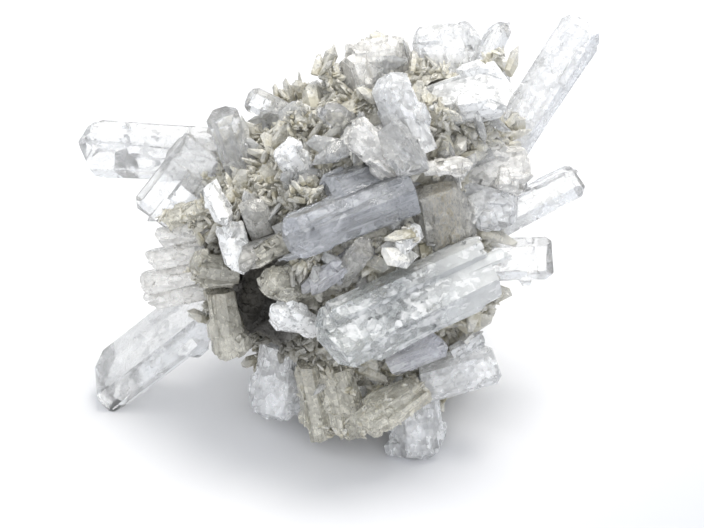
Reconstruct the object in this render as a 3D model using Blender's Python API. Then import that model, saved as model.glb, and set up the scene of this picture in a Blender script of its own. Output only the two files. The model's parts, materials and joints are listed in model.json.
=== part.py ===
"""A gypsum (selenite) crystal cluster: a lump of intergrown small crystals, the matrix, that carries
fifty-nine larger crystals, each one a node of its own, seated in a socket of the matrix.

Lengths in the tables are millimetres, measured from the middle of the lump: +X right, +Y back, +Z up.
The finished cluster stands on Z = 0, with the middle of its footprint at the origin.
"""

import math
import random

import bmesh
import bpy
from mathutils import Matrix, Vector, noise

MM = 0.001

# The lump that everything grows from: height, sideways shift of its middle, half width.
LUMP_ROWS = [
    (-56, 16, 9), (-48, 10, 19), (-37, 3, 28), (-25, -2, 34), (-14, -3, 39), (-3, -2, 42),
    (9, -1, 43), (20, 0, 41), (31, 4, 35), (42, 13, 26), (51, 20, 17),
]
LUMP_DEPTH = 0.76  # its half depth, as a share of its half width
LUMP_ROUGHNESS = 4.0
LUMP_GRAIN = 0.085  # bumps per millimetre
LUMP_DETAIL = 3  # subdivisions of the sphere that it starts from
FLOOR_Z = -58.0  # the surface that the cluster rests on, below the middle of the lump

# The small crystals that crust the lump.
CRUST_COUNT = 130
CRUST_LENGTH = (9.0, 15.0)
CRUST_WIDTH = (4.5, 8.5)
CRUST_FLATNESS = 0.65  # thickness as a share of the width
CRUST_LEAN = 0.8
CRUST_BURIED = 5.5  # how deep each is rooted in the lump

# The dark cleft in the front of the lump, left of the middle.
CLEFT_CENTRE = (-27.0, -26.0, -8.0)
CLEFT_RADII = (6.0, 17.0, 14.0)
CLEFT_LEAN = math.radians(20)

# Gypsum's habit.
PRISM_ANGLE = math.radians(35)  # from a crystal's width to the normal of its prism faces
EDGE_FLAT = 0.94  # the side edges are blunted at this share of the half width
GAP = 0.3  # clear space round each crystal in its socket
LONGEST = 400.0

# Terminations: each face is (across the width, across the thickness, along the crystal) for its normal,
# then where it passes through, as shares of half the width and half the thickness, and how far below the
# tip, as a share of the width.
TIPS = {
    "chisel": [
        (0, 1, 0.75, 0, 0.08, 0), (0, -1, 0.75, 0, -0.08, 0),
        (1, 0, 1.1, 0.45, 0, 0), (-1, 0, 1.3, -0.5, 0, 0),
    ],
    "roof": [
        (1, 0, 0.9, 0.06, 0, 0), (-1, 0, 0.9, -0.06, 0, 0),
        (0, 1, 1.0, 0, 0.6, 0), (0, -1, 1.0, 0, -0.6, 0),
    ],
    "oblique": [
        (1, 0, 0.42, 0.62, 0, 0), (-0.5, 0, 1.0, 0.55, 0, 0),
        (0.2, 1, 1.0, 0.3, 0.55, 0), (0.2, -1, 1.0, 0.3, -0.55, 0),
    ],
    "oblique_left": [
        (-1, 0, 0.42, -0.62, 0, 0), (0.5, 0, 1.0, -0.55, 0, 0),
        (-0.2, 1, 1.0, -0.3, 0.55, 0), (-0.2, -1, 1.0, -0.3, -0.55, 0),
    ],
    "slanted": [
        (-0.9, -0.15, 0.95, -0.2, 0, 0.13), (-0.22, 0.1, 1, 0.9, 0, 0), (1, 0.4, 0.6, 0.86, 0, 0),
    ],
    "blunt": [
        (0.06, 0, 1, 0, 0, 0), (1, 0, 0.9, 0.72, 0, 0), (-1, 0, 1.0, -0.66, 0, 0),
        (0, 1, 0.9, 0, 0.5, 0), (0, -1, 0.9, 0, -0.5, 0),
    ],
    "dome": [
        (0.1, 0.1, 1, 0, 0, 0), (0.5, 0, 1, 0.35, 0, 0.01), (-0.5, 0, 1, -0.35, 0, 0.02),
        (1, 0, 0.7, 0.75, 0, 0.1), (-1, 0, 0.7, -0.75, 0, 0.12),
        (0, 1, 1.0, 0, 0.35, 0), (0, -1, 1.0, 0, -0.35, 0),
    ],
    "snapped": [
        (0.35, 0.2, 1, 0, 0, 0.02), (-0.6, 0.3, 1, -0.4, 0, 0.04), (0.1, -0.8, 1, 0, -0.4, 0.03),
        (1, -0.2, 0.8, 0.7, 0, 0.1),
    ],
}

# Each crystal: root and tip, width, thickness, the way its broad face looks, its termination,
# its material, and the number of parallel individuals that it is intergrown from.
# Where two would cross, the one further down the list gives way.
CRYSTALS = {
    "front_prism": ((37, -29, 6), (-8, -47, -9), 20, 12, (0.1, -0.75, 0.66), "snapped", "silvery", 4),
    "centre_prism": ((16, -28, 28), (-18, -39, 19), 14, 13, (0.15, -0.62, 0.78), "dome", "blue", 2),
    "lower_left_blade": ((-27, 6, -12), (-78, 4, -55), 22, 12, (-0.38, -0.43, 0.79), "slanted", "clear", 1),
    "upper_left_blade": ((-31, 6, 23), (-80, 12, 23), 17, 9, (0, -0.95, 0.3), "dome", "clear", 3),
    "left_wedge": ((-42, 1, 28), (-58, -5, 9), 15, 7, (-0.2, -0.97, 0.1), "blunt", "clear", 2),
    "upper_right_blade": ((36, 9, 8), (69, 30, 56), 14, 9, (-0.1, -0.92, 0.37), "dome", "clear", 3),
    "right_blade_upper": ((33, 6, -4), (68, 19, 10), 11.5, 8, (0, -0.7, 0.71), "blunt", "clear", 1),
    "right_blade_lower": ((31, -2, -7), (59, 0, -7), 13.5, 9, (0, -0.9, 0.42), "blunt", "clear", 1),
    "white_tip_crystal": ((19, -6, 42), (44, -12, 52), 15, 12, (-0.2, -0.62, 0.76), "chisel", "snow", 3),
    "brown_dome": ((27, -21, 8), (23, -29, 34), 18, 9, (0.12, -0.97, -0.2), "dome", "smoky", 2),
    "upper_mid_prism": ((18, -24, 37), (9, -16, 57), 13, 9, (-0.1, -0.85, -0.5), "dome", "cloudy", 2),
    "top_fan": ((27, 4, 40), (27, 14, 61), 17, 7, (-0.05, -0.95, 0.3), "dome", "cloudy", 5),
    "top_point": ((34, 6, 44), (43, 14, 61), 8, 7, (0.4, -0.9, 0.1), "roof", "clear", 1),
    "top_dome": ((9, 1, 41), (6, 8, 59), 19, 12, (0, -0.95, 0.3), "dome", "creamy", 4),
    "right_shoulder": ((27, -10, 26), (50, -12, 28), 13, 9, (0.1, -0.8, 0.6), "dome", "creamy", 3),
    "shoulder_lower": ((27, -14, 21), (47, -16, 16), 14, 9, (0.2, -0.9, 0.35), "dome", "cloudy", 3),
    "shoulder_back": ((30, -2, 18), (50, -1, 20), 9, 6, (0.2, -0.9, 0.3), "blunt", "clear", 1),
    "glass_wedge": ((9, -25, 45), (18, -35, 36), 10, 5, (-0.15, -0.8, 0.55), "oblique", "clear", 1),
    "beige_block": ((12, -24, 33), (0, -29, 47), 9.5, 8, (-0.1, -0.9, 0.4), "blunt", "creamy", 2),
    "lens_crystal": ((20, -27, 34), (33, -30, 37), 6, 5, (0, -0.8, 0.6), "roof", "creamy", 1),
    "left_point": ((-31, -9, 25), (-37, -6, 43), 10, 7, (-0.1, -0.98, 0.1), "chisel", "clear", 1),
    "top_left_stub": ((-15, 3, 35), (-30, 8, 41), 8, 6, (0, -0.9, 0.4), "dome", "clear", 1),
    "left_spray_a": ((-40, -10, 15), (-55, -10, 10), 6, 4.5, (0, -0.8, 0.6), "roof", "earthy", 1),
    "left_spray_b": ((-40, -10, 8), (-57, -9, 4), 6.5, 4.5, (0, -0.7, 0.7), "oblique_left", "clear", 1),
    "left_spray_c": ((-40, -9, 1), (-60, -8, -4), 7, 5, (0, -0.7, 0.7), "oblique_left", "clear", 2),
    "left_spray_d": ((-40, -8, -6), (-62, -7, -12), 7.5, 5, (0, -0.7, 0.7), "dome", "clear", 2),
    "left_spray_e": ((-40, -8, -13), (-60, -7, -18), 6, 4.5, (0, -0.75, 0.66), "oblique_left", "clear", 1),
    "left_block": ((-33, -18, -2), (-46, -22, 2), 9, 8, (-0.2, -0.95, 0.2), "snapped", "earthy", 2),
    "left_front_blade": ((-38, -17, -9), (-35, -22, -29), 9.5, 6, (-0.25, -0.97, 0), "snapped", "earthy", 3),
    "white_flake": ((-34, -25, 16), (-30, -34, 6), 9, 5, (0.1, -0.9, -0.4), "roof", "snow", 1),
    "white_block": ((-40, -20, 27), (-34, -29, 18), 6, 5, (-0.1, -0.8, 0.6), "roof", "snow", 1),
    "lower_right_blade": ((21, -24, -36), (42, -24, -29), 12, 8, (0.1, -0.85, 0.5), "blunt", "clear", 2),
    "lower_right_stub": ((29, -22, -27), (38, -20, -22), 5, 4, (0, -0.9, 0.4), "dome", "clear", 1),
    "striped_crystal": ((11, -30, -25), (26, -32, -17), 9, 7, (0.1, -0.95, 0.2), "chisel", "violet", 2),
    "bottom_cross": ((20, -31, -33), (2, -41, -40), 10, 9, (0.1, -0.85, 0.5), "snapped", "earthy", 4),
    "bottom_dome": ((17, -20, -38), (20, -29, -60), 17, 15, (0.1, -0.95, -0.3), "dome", "cloudy", 2),
    "bottom_blade_left": ((-12, -25, -28), (-8, -27, -53), 9, 8, (-0.3, -0.95, 0.1), "snapped", "earthy", 4),
    "bottom_blade_mid": ((-5, -29, -27), (1, -30, -51), 10, 8, (0.2, -0.95, 0.1), "slanted", "earthy", 4),
    "bottom_left_cloudy": ((-20, -14, -28), (-24, -15, -53), 15, 10, (-0.2, -0.95, 0.1), "dome", "cloudy", 3),
    "middle_blade_upper": ((-13, -29, 16), (-30, -34, 9), 6, 4, (0.1, -0.7, 0.7), "snapped", "earthy", 2),
    "middle_blade_lower": ((-12, -31, 8), (-25, -37, 3), 5.5, 3.5, (0.1, -0.7, 0.7), "blunt", "earthy", 1),
    "dark_prism": ((-3, -33, 4), (4, -41, 19), 7.5, 6, (0.3, -0.9, 0.3), "roof", "smoky", 1),
    "violet_splint": ((4, -33, 13), (-12, -39, 4), 6.5, 5, (0.2, -0.7, 0.7), "oblique", "violet", 2),
    "white_spray": ((-11, -33, -11), (-22, -43, -1), 7, 5, (-0.2, -0.9, 0.4), "roof", "snow", 3),
    "centre_back": ((14, -22, 31), (-6, -31, 28), 13, 9, (0.1, -0.7, 0.7), "blunt", "blue", 2),
    "upper_lath": ((11, -20, 43), (-8, -28, 39), 6, 4.5, (-0.1, -0.7, 0.7), "oblique", "clear", 2),
    "upper_flake": ((2, -15, 38), (-7, -22, 50), 8, 4, (-0.2, -0.9, 0.3), "roof", "clear", 1),
    "cleft_shard": ((-17, -26, 13), (-31, -35, 10), 8, 5, (0, -0.75, 0.66), "oblique", "smoky", 1),
    "cleft_block": ((-12, -28, -3), (-24, -39, 7), 9, 7, (0.1, -0.8, 0.6), "snapped", "earthy", 2),
    "white_druse_crystal": ((-13, -20, 29), (-19, -28, 42), 8, 6, (0, -0.9, 0.4), "chisel", "snow", 2),
    "left_shard": ((-24, -25, 12), (-27, -33, 27), 8, 4.5, (0.1, -0.95, 0.3), "oblique", "smoky", 1),
    "bright_wedge": ((17, -31, 17), (11, -43, 17), 6, 6, (0.2, -0.2, 0.95), "blunt", "snow", 1),
    # The side that the front view hides.
    "back_blade_high": ((4, 20, 20), (-14, 54, 22), 15, 9, (0.2, 0.4, 0.9), "oblique", "clear", 2),
    "back_blade_low": ((-6, 22, -12), (-30, 50, -28), 13, 8, (-0.3, 0.3, 0.9), "blunt", "clear", 1),
    "back_prism": ((20, 20, 6), (46, 50, 4), 16, 11, (0.2, 0.5, 0.85), "dome", "cloudy", 3),
    "back_foot": ((8, 16, -34), (12, 36, -60), 15, 11, (0, 0.9, 0.4), "dome", "cloudy", 2),
    "back_foot_right": ((26, 10, -30), (38, 24, -60), 12, 9, (0.5, 0.8, 0.2), "blunt", "creamy", 1),
    "back_dome": ((-18, 18, 14), (-40, 36, 18), 16, 10, (-0.4, 0.6, 0.6), "dome", "creamy", 3),
    "back_splinter": ((2, 26, 2), (4, 52, 10), 8, 6, (0, -0.3, 0.95), "roof", "clear", 1),
}

# How far the individuals of a crystal fan out, in degrees.
PARALLEL = 2
SPREADS = {
    "top_fan": 13, "top_dome": 9, "white_spray": 14, "white_tip_crystal": 6, "right_shoulder": 9,
    "shoulder_lower": 8, "bottom_blade_left": 9, "bottom_blade_mid": 8, "bottom_cross": 8,
    "left_front_blade": 8, "bottom_left_cloudy": 7, "back_dome": 10, "back_prism": 4,
    "lower_right_blade": 8, "left_block": 9, "cleft_block": 10,
}

# Base colour, roughness.
LOOKS = {
    "clear": ((0.90, 0.91, 0.93), 0.12),
    "cloudy": ((0.86, 0.87, 0.87), 0.25),
    "snow": ((0.93, 0.93, 0.91), 0.35),
    "creamy": ((0.80, 0.79, 0.75), 0.30),
    "silvery": ((0.82, 0.84, 0.84), 0.15),
    "blue": ((0.62, 0.65, 0.70), 0.20),
    "violet": ((0.66, 0.67, 0.72), 0.20),
    "smoky": ((0.55, 0.53, 0.48), 0.22),
    "earthy": ((0.62, 0.60, 0.53), 0.30),
    "matrix": ((0.52, 0.50, 0.44), 0.60),
}


def clear_scene():
    for obj in list(bpy.data.objects):
        bpy.data.objects.remove(obj)


def material(name):
    """The material of that name, made once."""
    found = bpy.data.materials.get(name)
    if found:
        return found
    made = bpy.data.materials.new(name)
    made.use_nodes = True
    colour, roughness = LOOKS[name]
    shader = made.node_tree.nodes["Principled BSDF"]
    shader.inputs["Base Color"].default_value = (*colour, 1)
    shader.inputs["Roughness"].default_value = roughness
    shader.inputs["Metallic"].default_value = 0
    return made


def add_object(name, bm, look=None):
    """A new object from a bmesh, which is freed."""
    mesh = bpy.data.meshes.new(name)
    bm.to_mesh(mesh)
    bm.free()
    obj = bpy.data.objects.new(name, mesh)
    bpy.context.scene.collection.objects.link(obj)
    if look:
        mesh.materials.append(material(look))
    return obj


def crystal_frame(root, tip, faces):
    """The matrix that puts a crystal's width along X, thickness along Y and length along Z."""
    along = (tip - root).normalized()
    broad = Vector(faces)
    broad = (broad - along * broad.dot(along)).normalized()
    across = broad.cross(along).normalized()
    turned = Matrix((across, broad, along)).transposed().to_4x4()
    return Matrix.Translation(root) @ turned


def crystal_faces(width, thick, length, tip_form, grow):
    """(normal, distance) of each face of one individual, grown outwards by grow."""
    half_w, half_t = width / 2, thick / 2
    faces = [(Vector((0, side, 0)), half_t) for side in (1, -1)]
    faces += [(Vector((side, 0, 0)), half_w * EDGE_FLAT) for side in (1, -1)]
    for across in (1, -1):
        for side in (1, -1):
            normal = Vector((across * math.cos(PRISM_ANGLE), side * math.sin(PRISM_ANGLE), 0))
            faces.append((normal, half_w * math.cos(PRISM_ANGLE)))
    for across, through, along, at_w, at_t, drop in TIPS[tip_form]:
        normal = Vector((across, through, along)).normalized()
        point = Vector((at_w * half_w, at_t * half_t, length - drop * width))
        faces.append((normal, normal.dot(point)))
    faces.append((Vector((0, 0, -1)), 0.0))
    return [(normal, distance + grow) for normal, distance in faces]


def solid_from_faces(faces):
    """The convex solid inside all the faces, as a bmesh."""
    bm = bmesh.new()
    bmesh.ops.create_cube(bm, size=LONGEST)
    for normal, distance in faces:
        geometry = bm.verts[:] + bm.edges[:] + bm.faces[:]
        bmesh.ops.bisect_plane(
            bm, geom=geometry, plane_co=normal * distance, plane_no=normal, dist=1e-5, clear_outer=True
        )
        open_edges = [edge for edge in bm.edges if edge.is_boundary]
        if open_edges:
            bmesh.ops.holes_fill(bm, edges=open_edges)
    bmesh.ops.recalc_face_normals(bm, faces=bm.faces[:])
    return bm


def individuals(name, width, thick, length, count):
    """(shift, width, thickness, length, turn) of each parallel individual of a crystal: the first is the
    whole crystal's own size, and the rest stand a little proud of it and end at other heights."""
    rng = random.Random(name)
    spread = SPREADS.get(name, PARALLEL)
    made = [(Vector((0, 0, 0)), width, thick, length, 0.0)]
    for i in range(1, count):
        side = 1 if i % 2 else -1
        shift = Vector((side * width * rng.uniform(0.1, 0.24), thick * rng.uniform(-0.3, 0.3), 0))
        size = rng.uniform(0.45, 0.6)
        reach = length * rng.uniform(0.74, 0.95)
        lean = side * spread * rng.uniform(0.5, 1.0)
        made.append((shift, width * size, thick * rng.uniform(0.7, 0.9), reach, lean))
    return made


def build_crystal(name, row):
    """One crystal and the hidden, slightly larger solids that cut its socket."""
    root, tip, width, thick, faces, tip_form, look, count = row
    root, tip = Vector(root), Vector(tip)
    frame = crystal_frame(root, tip, faces)
    blocks, sheaths = [], []
    members = individuals(name, width, thick, (tip - root).length, count)
    for i, (shift, w, t, length, lean) in enumerate(members):
        place = frame @ Matrix.Translation(shift) @ Matrix.Rotation(math.radians(lean), 4, "Y")
        for grow, kept in ((0, blocks), (GAP, sheaths)):
            bm = solid_from_faces(crystal_faces(w, t, length, tip_form, grow))
            bm.transform(place)
            kept.append(add_object(f"{name}_part_{i}_{grow}", bm))
    crystal = blocks[0]
    crystal.name = name
    crystal.data.materials.append(material(look))
    for other in blocks[1:]:
        combine(crystal, other, "UNION")
        bpy.data.objects.remove(other)
    for sheath in sheaths:
        hide(sheath)
    return crystal, sheaths


def hide(obj):
    """A cutter: no part of the object."""
    obj.hide_render = True
    obj.display_type = "WIRE"


def combine(obj, other, operation):
    """Applies one Boolean to obj's mesh."""
    modifier = obj.modifiers.new("combine", "BOOLEAN")
    modifier.operation = operation
    modifier.object = other
    bake(obj)


def bake(obj):
    """Puts obj's modifiers into its mesh."""
    bpy.context.view_layer.update()
    evaluated = obj.evaluated_get(bpy.context.evaluated_depsgraph_get())
    mesh = bpy.data.meshes.new_from_object(evaluated)
    obj.modifiers.clear()
    old = obj.data
    obj.data = mesh
    bpy.data.meshes.remove(old)


def box_of(obj):
    points = [obj.matrix_world @ vertex.co for vertex in obj.data.vertices]
    low = Vector([min(p[i] for p in points) for i in range(3)])
    high = Vector([max(p[i] for p in points) for i in range(3)])
    return low, high


def boxes_meet(first, second):
    (low_a, high_a), (low_b, high_b) = first, second
    return all(low_a[i] <= high_b[i] and low_b[i] <= high_a[i] for i in range(3))


def keep_largest_piece(obj):
    """Drops the chips that a cut has parted from obj."""
    bm = bmesh.new()
    bm.from_mesh(obj.data)
    todo, pieces = set(bm.faces), []
    while todo:
        stack = [todo.pop()]
        piece = list(stack)
        while stack:
            for edge in stack.pop().edges:
                for face in edge.link_faces:
                    if face in todo:
                        todo.remove(face)
                        stack.append(face)
                        piece.append(face)
        pieces.append(piece)
    if len(pieces) > 1:
        largest = max(pieces, key=lambda piece: sum(face.calc_area() for face in piece))
        dropped = [face for piece in pieces if piece is not largest for face in piece]
        bmesh.ops.delete(bm, geom=dropped, context="FACES")
        bm.to_mesh(obj.data)
    bm.free()


def lump_row(height):
    """The lump's sideways shift and half width at a height."""
    for (z0, shift0, half0), (z1, shift1, half1) in zip(LUMP_ROWS, LUMP_ROWS[1:]):
        if height <= z1:
            share = max(0, (height - z0) / (z1 - z0))
            return shift0 + share * (shift1 - shift0), half0 + share * (half1 - half0)
    return LUMP_ROWS[-1][1:]


def lump_point(direction):
    """Where the lump's surface lies in a direction from its middle."""
    low, high = LUMP_ROWS[0][0], LUMP_ROWS[-1][0]
    height = (low + high) / 2 + direction.z * (high - low) / 2
    shift, half = lump_row(height)
    level = Vector((direction.x, direction.y, 0)).normalized()
    point = Vector((shift + level.x * half, level.y * half * LUMP_DEPTH, height))
    bumps = noise.fractal(point * LUMP_GRAIN, 0.8, 2.0, 4)
    return point + direction * bumps * LUMP_ROUGHNESS


def lump_normal(direction):
    """Which way the lump's surface looks, roughly."""
    return Vector((direction.x / 43, direction.y / 33, direction.z / 52)).normalized()


def build_lump():
    bm = bmesh.new()
    bmesh.ops.create_icosphere(bm, subdivisions=LUMP_DETAIL, radius=1)
    for vertex in bm.verts:
        vertex.co = lump_point(vertex.co.normalized())
    return add_object("matrix", bm, "matrix")


def crust_directions(count):
    """Directions spread evenly round the lump."""
    golden = math.pi * (3 - math.sqrt(5))
    for i in range(count):
        z = 1 - 2 * (i + 0.5) / count
        radius = math.sqrt(1 - z * z)
        yield Vector((radius * math.cos(golden * i), radius * math.sin(golden * i), z))


def add_crust(lump):
    """Joins the crust's crystals to the lump."""
    rng = random.Random("crust")
    for direction in crust_directions(CRUST_COUNT):
        outwards = lump_normal(direction)
        lean = Vector([rng.uniform(-CRUST_LEAN, CRUST_LEAN) for _ in range(3)])
        along = (outwards + lean).normalized()
        length, width = rng.uniform(*CRUST_LENGTH), rng.uniform(*CRUST_WIDTH)
        root = lump_point(direction) - outwards * CRUST_BURIED
        faces = Vector([rng.uniform(-1, 1) for _ in range(3)])
        tip_form = rng.choice(("roof", "chisel", "oblique", "blunt"))
        bm = solid_from_faces(crystal_faces(width, width * CRUST_FLATNESS, length, tip_form, 0))
        bm.transform(crystal_frame(root, root + along * length, faces))
        shoot = add_object("crust_shoot", bm)
        combine(lump, shoot, "UNION")
        bpy.data.objects.remove(shoot)


def carve_cleft(lump):
    bm = bmesh.new()
    bmesh.ops.create_icosphere(bm, subdivisions=2, radius=1)
    bm.transform(
        Matrix.Translation(CLEFT_CENTRE)
        @ Matrix.Rotation(CLEFT_LEAN, 4, "Y")
        @ Matrix.Diagonal((*CLEFT_RADII, 1))
    )
    cleft = add_object("cleft", bm)
    combine(lump, cleft, "DIFFERENCE")
    bpy.data.objects.remove(cleft)


def level_the_base(objects):
    """Flattens what would reach below the surface that the cluster rests on."""
    bm = bmesh.new()
    bmesh.ops.create_cube(bm, size=LONGEST)
    bmesh.ops.translate(bm, verts=bm.verts[:], vec=(0, 0, FLOOR_Z - LONGEST / 2))
    ground = add_object("ground", bm)
    for obj in objects:
        if box_of(obj)[0].z < FLOOR_Z:
            combine(obj, ground, "DIFFERENCE")
            keep_largest_piece(obj)
    bpy.data.objects.remove(ground)


def stand_at_origin(objects):
    """Turns millimetres into metres, with the middle of the footprint at the origin."""
    boxes = [box_of(obj) for obj in objects]
    low = [min(box[0][i] for box in boxes) for i in range(3)]
    high = [max(box[1][i] for box in boxes) for i in range(3)]
    middle = Vector(((low[0] + high[0]) / 2, (low[1] + high[1]) / 2, low[2]))
    for obj in objects:
        obj.data.transform(Matrix.Scale(MM, 4) @ Matrix.Translation(-middle))


def main():
    clear_scene()
    matrix = build_lump()
    add_crust(matrix)
    carve_cleft(matrix)
    crystals, sheaths = [], []
    for name, row in CRYSTALS.items():
        crystal, own_sheaths = build_crystal(name, row)
        for sheath in sheaths:
            if boxes_meet(box_of(crystal), box_of(sheath)):
                combine(crystal, sheath, "DIFFERENCE")
        keep_largest_piece(crystal)
        crystals.append(crystal)
        sheaths += own_sheaths
    for sheath in sheaths:
        combine(matrix, sheath, "DIFFERENCE")
    keep_largest_piece(matrix)
    level_the_base([matrix, *crystals])
    stand_at_origin([matrix, *crystals])
    for sheath in sheaths:
        bpy.data.objects.remove(sheath)


main()
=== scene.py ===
"""The looks of the gypsum crystal cluster: selenite crystals with growth steps, striations, chipped edges
and inner veils, on a lump crusted with thousands of small crystals, in a bright studio.

Metres and +Z up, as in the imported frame. Lengths named with _MM are millimetres.
"""

import json
import math
import random

import bmesh
import bpy
import numpy as np
from mathutils import Matrix, Vector
from mathutils.bvhtree import BVHTree


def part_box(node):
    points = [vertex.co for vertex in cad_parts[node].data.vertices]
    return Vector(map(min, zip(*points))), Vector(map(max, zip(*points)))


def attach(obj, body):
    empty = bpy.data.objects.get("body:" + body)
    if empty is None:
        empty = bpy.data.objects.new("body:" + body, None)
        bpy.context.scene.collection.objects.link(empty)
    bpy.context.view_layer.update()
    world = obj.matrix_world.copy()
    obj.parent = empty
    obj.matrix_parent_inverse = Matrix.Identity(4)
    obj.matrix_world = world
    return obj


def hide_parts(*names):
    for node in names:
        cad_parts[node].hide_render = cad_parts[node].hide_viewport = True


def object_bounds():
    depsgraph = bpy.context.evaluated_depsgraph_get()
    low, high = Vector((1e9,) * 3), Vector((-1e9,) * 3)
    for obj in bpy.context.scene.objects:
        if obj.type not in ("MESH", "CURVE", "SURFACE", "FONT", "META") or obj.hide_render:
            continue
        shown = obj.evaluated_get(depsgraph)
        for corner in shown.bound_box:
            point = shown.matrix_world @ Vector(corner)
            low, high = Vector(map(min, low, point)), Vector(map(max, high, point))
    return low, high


MM = 0.001

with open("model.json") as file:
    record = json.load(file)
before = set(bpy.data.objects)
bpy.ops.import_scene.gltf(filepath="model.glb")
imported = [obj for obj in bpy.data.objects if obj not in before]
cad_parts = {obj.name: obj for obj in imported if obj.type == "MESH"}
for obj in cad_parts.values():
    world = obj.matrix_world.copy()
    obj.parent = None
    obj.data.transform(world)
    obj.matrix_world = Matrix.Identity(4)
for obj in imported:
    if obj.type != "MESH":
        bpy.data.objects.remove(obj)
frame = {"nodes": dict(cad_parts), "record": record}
CAD_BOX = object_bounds()
NODES = frame["nodes"]
SLOTS = {row["node"]: row["material_slot"] for row in frame["record"]["subparts"]}
MIDDLE = (CAD_BOX[0] + CAD_BOX[1]) / 2

# Camera.
VIEW_ELEVATION = math.radians(28)
VIEW_TARGET = Vector((0.0037, -0.0040, 0.051))
VIEW_DISTANCE = 0.4889
LENS = 85
SENSOR = 36

# Lights: where they stand, their width, power and colour. The sky goes from straight away from SKY_TOP
# (0) to straight towards it (1).
LIGHTS = [
    ("key", (0.16, 0.04, 0.98), 0.5, 6.4, (1, 0.97, 0.92)),
    ("fill", (0.1, -1.0, 0.5), 0.9, 4.2, (0.98, 0.985, 1.0)),
]
SKY_TOP = Vector((0.12, 0.2, 0.95))
SKY = [
    (0.0, (0.23, 0.26, 0.33)), (0.40, (0.55, 0.60, 0.70)), (0.56, (0.82, 0.86, 0.94)),
    (0.8, (0.96, 0.98, 1)),
]
SKY_STRENGTH = 1.08

# Meshes.
ROCK_VOXEL_MM = 0.68
CRACK_WIDE = 0.12 * MM
VEIL_THICK = 0.08 * MM
VEIL_CORNERS = 16
CUTTER = 0.2  # size of what cuts crystals off, larger than any of them

# How each kind of crystal, or one crystal by its name, grew and broke: how many parallel crystals it is
# joined from, their least and greatest width as a share of its own, how many slices its end has lost and
# how deep they are, and how many chips its edges have lost and how large they are. Depths and chips are
# in millimetres.
GROWTH = {
    "clear": (4, 0.2, 0.45, 2, 1.0, 10, 1.2),
    "cloudy": (9, 0.25, 0.6, 5, 2.0, 16, 2.2),
    "snow": (9, 0.25, 0.6, 5, 2.0, 16, 2.4),
    "creamy": (10, 0.25, 0.6, 5, 2.2, 16, 2.4),
    "silvery": (8, 0.1, 0.4, 5, 2.2, 30, 2.2),
    "blue": (7, 0.15, 0.4, 5, 2.0, 16, 1.8),
    "violet": (9, 0.15, 0.4, 3, 1.5, 8, 1.4),
    "smoky": (7, 0.25, 0.5, 4, 1.6, 10, 1.6),
    "brown_dome": (3, 0.2, 0.4, 16, 3.4, 16, 1.8),
    "upper_left_blade": (6, 0.3, 0.6, 6, 2.2, 16, 2.0),
    "earthy": (11, 0.2, 0.55, 5, 2.0, 16, 2.2),
}

# Open hairline cracks and cloudy inner sheets in single crystals.
CRACKS = {
    "upper_right_blade": 9, "upper_left_blade": 4, "top_fan": 4, "white_tip_crystal": 4, "front_prism": 6,
}
VEILS = {
    "lower_left_blade": 3, "upper_left_blade": 4, "upper_right_blade": 5, "right_blade_upper": 3,
    "right_blade_lower": 3, "front_prism": 14, "centre_prism": 6, "bottom_dome": 5,
    "white_tip_crystal": 5, "top_fan": 4, "back_blade_high": 4, "back_blade_low": 3, "back_prism": 5,
}

# The crust, from the largest crystals to the smallest: how many clumps, their crystals' length and
# width in millimetres, how much the clumps lean, how far they keep off the larger crystals, and how
# many crystals a clump has at most.
CRUST = [
    (800, 7.0, 4.6, 0.9, -0.8, 2),
    (2400, 4.6, 3.0, 0.9, 0.2, 3),
    (8000, 2.8, 1.7, 0.9, 0.4, 4),
]
FINEST = 0.68  # share of its size that the crust has where it is least pale
THIN_OUT = 0.5  # share of the crust that is missing where the crystals are palest
CLEARING = 1.8  # and how much further it keeps off the larger crystals there, in millimetres
BLOCKS = 190  # broad crystals in the crust, where it is palest
BLOCK_LONG = (8.0, 14.0)
BLOCK_WIDE = (5.5, 9.5)
DUSTING = 34  # small crystals on each earthy crystal
DUST_LONG = (1.5, 4.5)
DUST_WIDE = (0.8, 2.0)
SHARDS = 7  # unit for the number of middle-sized crystals round the foot of each large one
SHARD_LONG = (6.0, 12.0)
SHARD_WIDE = (3.0, 6.0)
SHARD_LOWEST = 14 * MM  # how high above the floor shards and blocks stay
PALENESS_BY = (1.0, 0.6, -0.38)  # how pale the crust is: by the share across, by the share up, and a start

# Crystals that stand free, with fewer shards and those only round their inner half.
LONELY = {
    "upper_left_blade", "upper_right_blade", "lower_left_blade", "right_blade_upper", "right_blade_lower",
    "left_wedge", "left_spray_a", "left_spray_b", "left_spray_c", "left_spray_d", "left_spray_e",
    "centre_prism", "front_prism", "bottom_dome", "back_blade_high", "back_blade_low",
}

# The dark cleft at the front, left of the middle: its middle and size, the near black painted shade laid
# in it, and the crystals that take that painted shade.
CLEFT = Vector((-0.0233, -0.026, 0.048))
CLEFT_SIZE = Vector((0.014, 0.020, 0.023))
CLEFT_SHADE_TONE = (0.045, 0.042, 0.036)
SHADED_IN_CLEFT = {name for name, slot in SLOTS.items() if slot in ("earthy", "smoky")}

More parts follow.
